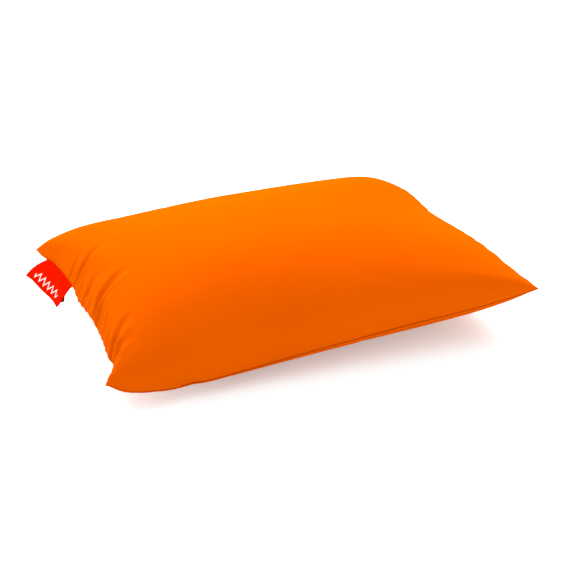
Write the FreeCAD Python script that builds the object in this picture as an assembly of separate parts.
"""Camp pillow: a zipped fabric cover with a side label, round a separate stuffed inner pillow.

The frame is +Z up, with +X along the pillow's length and the label at the -X end. The origin is the
centre of the flat patch that the pillow rests on. All sizes are in millimetres.

The cover is two crowned panels sewn edge to edge all round, with the seam allowances turned inwards.
At the -X end a coil zip lies in a slit just below the seam. The slider, its wire bail and a hanging tag
move on it. The folded label is sewn into the same end seam, above the zip.
"""

import math
import os

import FreeCAD
import Part
from FreeCAD import Placement, Rotation, Vector

# Driving dimensions of the stuffed pillow
PILLOW_LENGTH = 460.0       # ear tip to ear tip
PILLOW_WIDTH = 316.0        # ear tip to ear tip
SEAM_HEIGHT = 46.0          # of the side seam above the floor
CROWN = 69.0                # of the top panel above the seam
BELLY = 52.0                # of the bottom panel below the seam, before the floor flattens it
END_PULL = 15.0             # how far each short side is pulled in between its ears
SIDE_PULL = 11.0            # the same on each long side
END_PULL_POWER = 5.0        # higher is straighter in the middle of a side
SIDE_PULL_POWER = 3.4
CROWN_POWER = 2.4           # higher is a flatter crown

# Fabrics
COVER_WALL = 1.0
CASE_WALL = 0.7
ALLOWANCE = 10.0            # seam allowance, turned inwards
CASE_END_GAP = 17.0         # between cover seam and inner case seam, at the ends
CASE_SIDE_GAP = 13.0        # the same at the long sides
CASE_DROP = 2.5             # between cover and inner case at the crown
FILL_EDGE = 13.0            # between inner case seam and filling
FILL_DROP = 1.3

# Zip, in its own frame: n outwards from the cover's wall, t up along the wall, y along the zip
ZIP_DROP = 10.0             # slit centre below the seam
SLIT_HALF = 1.3
ZIP_LOW_Y = -104.0
ZIP_HIGH_Y = 111.0
SLIDER_Y = 99.0             # slider when the zip is closed
TOOTH_PITCH = 2.0
TOOTH_RADIUS = 0.5
TOOTH_N = -3.9              # coil axis, behind the wall
TOOTH_OUT = 2.4             # how far a tooth reaches from the zip's centre line
TOOTH_IN = 0.8              # how far it reaches past that line
TAPE_N = -4.6               # outer face of the tape under the teeth
TAPE_EDGE_N = -3.4          # and at its sewn edge
TAPE_WALL = 0.5
TAPE_START = 0.4            # tape edge from the zip's centre line
TAPE_BEND = 4.2
TAPE_REACH = 7.0
TAPE_STITCH = 5.8           # stitch row from the zip's centre line
FRONT_PLATE = (-2.9, -2.1)
REAR_PLATE = (-6.7, -5.6)
SLIDER_HALF = 3.4
SLIDER_LONG = 5.0           # half the slider's length
FLANGE_START = 2.8
FLANGE_N = -4.2
WEDGE_HALF = 1.1
BAIL_WIRE = 0.7             # radius
BAIL_BAR_N = 8.2
BAIL_HALF = 3.2
BAIL_CORNER = 1.5
TAG_LENGTH = 28.0           # from its hole to its tip
TAG_HALF = 2.9
TAG_WAIST = 2.0
TAG_HEAD = 2.7
TAG_HOLE = 1.0
TAG_THICK = 2.2

# Side label
LABEL_Y = (50.0, 130.0)     # where its two corners meet the end seam
LABEL_FREE = 31.0           # length outside the seam
LABEL_TURN = 55.0           # degrees that it droops
LABEL_RADIUS = 22.0
LABEL_PLY = 0.45
LABEL_FOLD_GAP = 0.1
LABEL_CLEAR = 1.3           # gap between the label and the seam, for its hinge
LABEL_TAIL = 7.0            # length sewn into the seam

# Sewing and the care label
STITCH_LONG = 3.0
STITCH_WIDE = 0.6
SEAM_PITCH = 10.0
SEWN_SHARE = 0.94           # of each side; the corners are left free
TAPE_STITCH_PITCH = 8.0
TAPE_STITCH_N = (-4.6, -0.3)
SEAM_STITCH_IN = 5.0        # stitch line from the seam edge
CARE_WIDE = 42.0
CARE_LONG = 22.0            # from the seam allowance to its fold
CARE_PLY = 0.3
CARE_LEAN = 36.0            # degrees from upright

BIG = 1000.0
GRID_U = 25                 # samples of a crowned surface along X
GRID_V = 19                 # and along Y


def save(node, shape):
    shape.exportStep(os.path.join("parts", node + ".step"))
    print(f"{node}: {len(shape.Solids)} solids, {shape.Volume / 1000:.2f} cm3, valid {shape.isValid()}")


def box(x0, x1, y0, y1, z0, z1):
    return Part.makeBox(x1 - x0, y1 - y0, z1 - z0, Vector(x0, y0, z0))


# ---- crowned shells

def seam_point(u, v, edge_x=0.0, edge_y=0.0):
    """A point of the seam plane: u and v run from -1 to 1, and the edges move in by edge_x and edge_y."""
    end = PILLOW_LENGTH / 2 - edge_x - END_PULL * (1 - abs(v) ** END_PULL_POWER)
    side = PILLOW_WIDTH / 2 - edge_y - SIDE_PULL * (1 - abs(u) ** SIDE_PULL_POWER)
    return u * end, v * side


def swell(w):
    """Share of the crown at w, from 1 in the middle to 0 at the seam."""
    return math.sqrt(max(0.0, 1 - abs(w) ** CROWN_POWER))


def spread(count):
    """Values from -1 to 1, closer together near both ends."""
    return [math.sin(math.pi / 2 * (2 * i / (count - 1) - 1)) for i in range(count)]


def knots(count):
    """Even knots and their multiplicities for a clamped cubic spline over count poles."""
    spans = count - 3
    return [i / spans for i in range(spans + 1)], [4] + [1] * (spans - 1) + [4]


def crowned_face(rise, edge_x, edge_y, base):
    """A smooth face that rises (or falls) by rise from a flat outline at the height base."""
    poles = []
    for u in spread(GRID_U):
        row = []
        for v in spread(GRID_V):
            x, y = seam_point(u, v, edge_x, edge_y)
            row.append(Vector(x, y, base + rise * swell(u) * swell(v)))
        poles.append(row)
    (knots_u, times_u), (knots_v, times_v) = knots(GRID_U), knots(GRID_V)
    surface = Part.BSplineSurface()
    surface.buildFromPolesMultsKnots(poles, times_u, times_v, knots_u, knots_v, False, False, 3, 3)
    return surface.toShape()


def half_pillow(rise, edge_x=0.0, edge_y=0.0, base=SEAM_HEIGHT):
    """The solid between a flat base and a crowned face."""
    crowned = crowned_face(rise, edge_x, edge_y, base)
    flat = Part.Face(Part.Wire(Part.__sortEdges__(crowned.Edges)))
    solid = Part.Solid(Part.Shell([crowned, flat]))
    if solid.Volume < 0:
        solid.reverse()
    return solid


def seam_face(edge_x, edge_y):
    """The flat face inside the seam plane's outline, with its edges moved in."""
    faces = half_pillow(CROWN, edge_x, edge_y).Faces
    return min(faces, key=lambda face: face.BoundBox.ZLength)


def above(height):
    return box(-BIG, BIG, -BIG, BIG, height, BIG)


def sewn_half(side, rise, edge_x, edge_y, wall, floor):
    """One panel, as a thin shell with its seam allowance turned inwards. side is 1 for the top."""
    outer = half_pillow(side * rise, edge_x, edge_y)
    lining = SEAM_HEIGHT + side * wall
    hollow = half_pillow(side * (rise - 2 * wall), edge_x + 2 * wall, edge_y + 2 * wall, lining)
    if side < 0:
        outer = outer.common(above(floor))
        hollow = hollow.common(above(floor + wall))
    mouth = seam_face(edge_x + ALLOWANCE, edge_y + ALLOWANCE).extrude(Vector(0, 0, side * wall))
    return outer.cut(hollow).cut(mouth)


# ---- zip frame

def slit_on_wall():
    """(degrees that the wall leans at the slit, its X there) in the middle of the label end."""
    surface = crowned_face(-BELLY, 0, 0, SEAM_HEIGHT).Surface
    low, high = 0.0, 0.5
    while high - low > 1e-7:
        middle = (low + high) / 2
        if surface.value(middle, 0.5).z > SEAM_HEIGHT - ZIP_DROP:
            low = middle
        else:
            high = middle
    down, _ = surface.tangent(low, 0.5)
    return math.degrees(math.atan2(abs(down.x), abs(down.z))), surface.value(low, 0.5).x


def on_wall(shape):
    """Moves a shape from the zip's own frame, where -X is outwards and Z is up the wall, to the pillow."""
    tilt, wall_x = slit_on_wall()
    place = Placement(Vector(wall_x, 0, SEAM_HEIGHT - ZIP_DROP), Rotation(Vector(0, 1, 0), -tilt))
    moved = shape.copy()
    moved.Placement = place.multiply(moved.Placement)
    return moved


def zip_box(n0, n1, y0, y1, t0, t1):
    return box(-n1, -n0, y0, y1, t0, t1)


def extrude_y(points, y0, y1):
    """A prism along Y over a closed outline of (x, z) points."""
    ring = [Vector(x, y0, z) for x, z in points]
    return Part.Face(Part.makePolygon(ring + ring[:1])).extrude(Vector(0, y1 - y0, 0))


def zip_tape(side):
    """A tape: flat under the teeth, then bent out to lie against the cover's wall."""
    faces = []
    for wall in (TAPE_WALL, 0.0):
        line = [(wall - TAPE_N, TAPE_START), (wall - TAPE_N, TAPE_BEND), (wall - TAPE_EDGE_N, TAPE_REACH)]
        faces.append([(x, side * t) for x, t in line])
    tape = extrude_y(faces[0] + faces[1][::-1], ZIP_LOW_Y, ZIP_HIGH_Y)
    room = WEDGE_HALF + 0.4
    return tape.cut(zip_box(-9, -3, SLIDER_Y + 0.7, ZIP_HIGH_Y + 1, -room, room))


def zip_teeth(side):
    teeth = []
    first = ZIP_LOW_Y + 8 + (TOOTH_PITCH / 2 if side < 0 else 0)
    count = int((SLIDER_Y - first) // TOOTH_PITCH)
    start, end = sorted((-side * TOOTH_IN, side * TOOTH_OUT))
    for i in range(count):
        foot = Vector(-TOOTH_N, first + i * TOOTH_PITCH, start)
        teeth.append(Part.makeCylinder(TOOTH_RADIUS, end - start, foot))
    return Part.makeCompound(teeth)


def zip_bottom_stop():
    y = ZIP_LOW_Y + 5
    return zip_box(TOOTH_N - 0.6, TOOTH_N + 0.6, y - 1.2, y + 1.2, -TOOTH_OUT, TOOTH_OUT)


def zip_top_stops():
    y = SLIDER_Y + 1.6
    stops = []
    for side in (-1, 1):
        low, high = sorted((side * (WEDGE_HALF + 0.4), side * (TOOTH_OUT + 0.1)))
        stops.append(zip_box(TOOTH_N - 0.6, TOOTH_N + 0.6, y - 0.8, y + 0.8, low, high))
    return Part.makeCompound(stops)


def slider_plate(n0, n1):
    """A slider plate, wide at the end where the tapes part and narrow where they are joined."""
    outline = [(-1.0, 0.72), (-0.7, 0.85), (0.1, 1.0), (0.75, 1.0), (1.0, 0.8)]
    half = [(y * SLIDER_LONG, t * SLIDER_HALF) for y, t in outline]
    ring = half + [(y, -t) for y, t in reversed(half)]
    points = [Vector(-n1, SLIDER_Y + y, t) for y, t in ring]
    return Part.Face(Part.makePolygon(points + points[:1])).extrude(Vector(n1 - n0, 0, 0))


def zip_slider_body():
    body = slider_plate(*FRONT_PLATE).fuse(slider_plate(*REAR_PLATE))
    wedge = [(1.0, 0.0), (3.0, WEDGE_HALF), (4.4, WEDGE_HALF), (4.4, -WEDGE_HALF), (3.0, -WEDGE_HALF)]
    points = [Vector(-FRONT_PLATE[0] - 0.1, SLIDER_Y + y, t) for y, t in wedge]
    depth = FRONT_PLATE[0] - REAR_PLATE[1] + 0.2
    body = body.fuse(Part.Face(Part.makePolygon(points + points[:1])).extrude(Vector(depth, 0, 0)))
    for side in (-1, 1):
        low, high = sorted((side * FLANGE_START, side * SLIDER_HALF))
        rail = zip_box(FLANGE_N, FRONT_PLATE[0] + 0.1, SLIDER_Y, SLIDER_Y + 3.7, low, high)
        body = body.fuse(rail)
    for leg in (-1, 1):
        foot = Vector(-FRONT_PLATE[1] - 1, SLIDER_Y + leg * BAIL_HALF, 0)
        body = body.cut(Part.makeCylinder(BAIL_WIRE + 0.02, 5, foot, Vector(1, 0, 0)))
    return body.removeSplitter()


def zip_slider_bail():
    """A wire bridge: two legs in the slider's front plate, and a bar that the tag hangs on."""
    foot, bar = -FRONT_PLATE[0] - 0.2, -BAIL_BAR_N
    turn = BAIL_CORNER * (1 - math.sqrt(0.5))
    legs, arcs, bends = [], [], []
    for leg in (-1, 1):
        y = SLIDER_Y + leg * BAIL_HALF
        top = Vector(bar + BAIL_CORNER, y, 0)
        bend = Vector(bar, y - leg * BAIL_CORNER, 0)
        legs.append(Part.LineSegment(Vector(foot, y, 0), top).toShape())
        arcs.append(Part.Arc(top, Vector(bar + turn, y - leg * turn, 0), bend).toShape())
        bends.append(bend)
    path = Part.Wire([legs[0], arcs[0], Part.LineSegment(*bends).toShape(), arcs[1], legs[1]])
    start = Vector(foot, SLIDER_Y - BAIL_HALF, 0)
    section = Part.Wire(Part.makeCircle(BAIL_WIRE, start, Vector(-1, 0, 0)))
    return Part.Solid(path.makePipeShell([section], True, False))


def tag_hole():
    """The middle of the bail's bar in the pillow's frame, which is also the middle of the tag's hole."""
    bar = on_wall(Part.Vertex(Vector(-BAIL_BAR_N, SLIDER_Y, 0))).Point
    return Vector(bar.x, bar.y, bar.z)


def zip_pull_tag():
    """A flat moulded tag that hangs from the bail: a round head with a hole, a waist and a round tip."""
    centre = tag_hole()
    y = centre.y - TAG_THICK / 2
    thick = Vector(0, TAG_THICK, 0)
    across = Vector(0, 1, 0)

    def disc(radius, down):
        place = Vector(centre.x, y, centre.z - down)
        return Part.makeCylinder(radius, TAG_THICK, place, across)

    end = TAG_LENGTH - TAG_HALF
    outline = [(-TAG_WAIST, 0), (-TAG_WAIST, 5), (-TAG_HALF, 9), (-TAG_HALF, end)]
    ring = outline + [(-x, z) for x, z in reversed(outline)]
    points = [Vector(centre.x + x, y, centre.z - z) for x, z in ring]
    blade = Part.Face(Part.makePolygon(points + points[:1])).extrude(thick)
    tag = disc(TAG_HEAD, 0).fuse([blade, disc(TAG_HALF, end)])
    return tag.cut(disc(TAG_HOLE, 0)).removeSplitter()


# ---- side label

def label_frame():
    """Places a shape whose -X is outwards and whose Y runs along the label's seam, centred on it."""
    ends = []
    for y in LABEL_Y:
        v = y / (PILLOW_WIDTH / 2)
        ends.append(Vector(seam_point(-1, v)[0], y, SEAM_HEIGHT))
    along = ends[1] - ends[0]
    turn = math.degrees(math.atan2(-along.x, along.y))
    middle = (ends[0] + ends[1]) * 0.5
    return Placement(middle, Rotation(Vector(0, 0, 1), turn)), along.Length


def droop(out, thick):
    """(x, z) on a ply, out along the label from the seam and thick above its middle."""
    turn = math.radians(LABEL_TURN)
    arc = LABEL_RADIUS * turn
    angle = min(out / LABEL_RADIUS, turn)
    x = LABEL_RADIUS * math.sin(angle)
    z = -LABEL_RADIUS * (1 - math.cos(angle))
    rest = max(0.0, out - arc)
    x += rest * math.cos(angle)
    z -= rest * math.sin(angle)
    return -(x + thick * math.sin(angle)), z + thick * math.cos(angle)


def label_strip(start, end, width):
    """Both plies of the folded label from start to end out of the seam, joined at the outer fold."""
    half = LABEL_PLY + LABEL_FOLD_GAP / 2
    steps = 12
    outs = [start + (end - start) * i / steps for i in range(steps + 1)]
    upper = [droop(o, half) for o in outs]
    lower = [droop(o, -half) for o in reversed(outs)]
    whole = extrude_y(upper + lower, -width / 2, width / 2)
    gap = [droop(o, LABEL_FOLD_GAP / 2) for o in outs[:-1]]
    gap += [droop(o, -LABEL_FOLD_GAP / 2) for o in reversed(outs[:-1])]
    return whole.cut(extrude_y(gap, -width / 2 - 1, width / 2 + 1))


def flag_label():
    place, width = label_frame()
    label = label_strip(LABEL_CLEAR, LABEL_FREE, width)
    label.Placement = place
    return label


def flag_label_tail():
    """The two ends of the label's plies, sewn between the seam allowances."""
    place, width = label_frame()
    tail = box(1.0, LABEL_TAIL + 1, -width / 2, width / 2, -LABEL_PLY, LABEL_PLY)
    tail.Placement = place
    return tail


def label_pocket():
    place, width = label_frame()
    room = box(-8, LABEL_TAIL + 1.3, -width / 2 - 0.3, width / 2 + 0.3, -LABEL_PLY - 0.05, LABEL_PLY + 0.05)
    room.Placement = place
    return room


# ---- sewing

def stitch(x, y, z, heading, deep):
    """One thread stitch: a short bar, heading degrees round from +X, deep through the fabric."""
    bar = Part.makeBox(STITCH_LONG, STITCH_WIDE, deep, Vector(-STITCH_LONG / 2, -STITCH_WIDE / 2, -deep / 2))
    bar.Placement = Placement(Vector(x, y, z), Rotation(Vector(0, 0, 1), heading))
    return bar


def seam_stitches(edge_x, edge_y, wall):
    """Stitches along all four seam allowances, set in from the seam's edge."""
    inset_x, inset_y = edge_x + SEAM_STITCH_IN, edge_y + SEAM_STITCH_IN

    def on_line(side, across, w):
        return seam_point(*((side, w) if across else (w, side)), inset_x, inset_y)

    bars = []
    for across, half in ((False, PILLOW_LENGTH / 2), (True, PILLOW_WIDTH / 2)):
        count = int(2 * half * SEWN_SHARE / SEAM_PITCH)
        for side in (-1, 1):
            for i in range(count):
                w = SEWN_SHARE * (2 * (i + 0.5) / count - 1)
                (x, y), (x_next, y_next) = on_line(side, across, w), on_line(side, across, w + 0.001)
                heading = math.degrees(math.atan2(y_next - y, x_next - x))
                bars.append(stitch(x, y, SEAM_HEIGHT, heading, 2 * wall + 0.4))
    return Part.makeCompound(bars)


def tape_stitches(side):
    """One row of stitches that holds a tape to the cover's wall."""
    bars = []
    count = int((ZIP_HIGH_Y - ZIP_LOW_Y - 8) / TAPE_STITCH_PITCH)
    low, high = side * TAPE_STITCH - STITCH_WIDE / 2, side * TAPE_STITCH + STITCH_WIDE / 2
    for i in range(count):
        y = ZIP_LOW_Y + 4 + (i + 0.5) * TAPE_STITCH_PITCH
        bars.append(zip_box(*TAPE_STITCH_N, y - STITCH_LONG / 2, y + STITCH_LONG / 2, low, high))
    return Part.makeCompound(bars)


def care_label():
    """A folded label inside the cover that hangs from the lower seam allowance at the +X end."""
    thick, half = 2 * CARE_PLY + 0.1, CARE_WIDE / 2
    label = box(0, thick, -half, half, -CARE_LONG, 0)
    label = label.cut(box(CARE_PLY, CARE_PLY + 0.1, -half - 1, half + 1, CARE_PLY - CARE_LONG, 1))
    top = Vector(PILLOW_LENGTH / 2 - END_PULL - ALLOWANCE + 1, 0, SEAM_HEIGHT - COVER_WALL - 0.6)
    label.Placement = Placement(top, Rotation(Vector(0, 1, 0), CARE_LEAN))
    return label


def main():
    os.makedirs("parts", exist_ok=True)
    slit = on_wall(zip_box(-8, 8, ZIP_LOW_Y + 4, ZIP_HIGH_Y - 6, -SLIT_HALF, SLIT_HALF))
    top = sewn_half(1, CROWN, 0, 0, COVER_WALL, 0).cut(label_pocket())
    bottom = sewn_half(-1, BELLY, 0, 0, COVER_WALL, 0).cut(label_pocket()).cut(slit)
    for name, panel in (("cover_top_panel", top), ("cover_bottom_panel", bottom)):
        save(name, panel)
    case = (CASE_END_GAP, CASE_SIDE_GAP)
    floor = COVER_WALL + 0.5
    save("inner_case_top", sewn_half(1, CROWN - CASE_DROP, *case, CASE_WALL, floor))
    save("inner_case_bottom", sewn_half(-1, BELLY - CASE_DROP, *case, CASE_WALL, floor))
    fill_edges = (CASE_END_GAP + FILL_EDGE, CASE_SIDE_GAP + FILL_EDGE)
    drop = CASE_DROP + FILL_DROP
    fill = half_pillow(CROWN - drop, *fill_edges).fuse(half_pillow(drop - BELLY, *fill_edges))
    save("filling", fill.common(above(floor + CASE_WALL + 0.4)).removeSplitter())
    save("cover_seam_stitches", seam_stitches(0, 0, COVER_WALL))
    save("inner_case_seam_stitches", seam_stitches(*case, CASE_WALL))
    for side, word in ((1, "upper"), (-1, "lower")):
        save("zip_tape_" + word, on_wall(zip_tape(side)))
        save("zip_teeth_" + word, on_wall(zip_teeth(side)))
        save("zip_stitches_" + word, on_wall(tape_stitches(side)))
    save("zip_bottom_stop", on_wall(zip_bottom_stop()))
    save("zip_top_stops", on_wall(zip_top_stops()))
    save("zip_slider_body", on_wall(zip_slider_body()))
    save("zip_slider_bail", on_wall(zip_slider_bail()))
    save("zip_pull_tag", zip_pull_tag())
    save("flag_label", flag_label())
    save("flag_label_tail", flag_label_tail())
    save("care_label", care_label())


main()
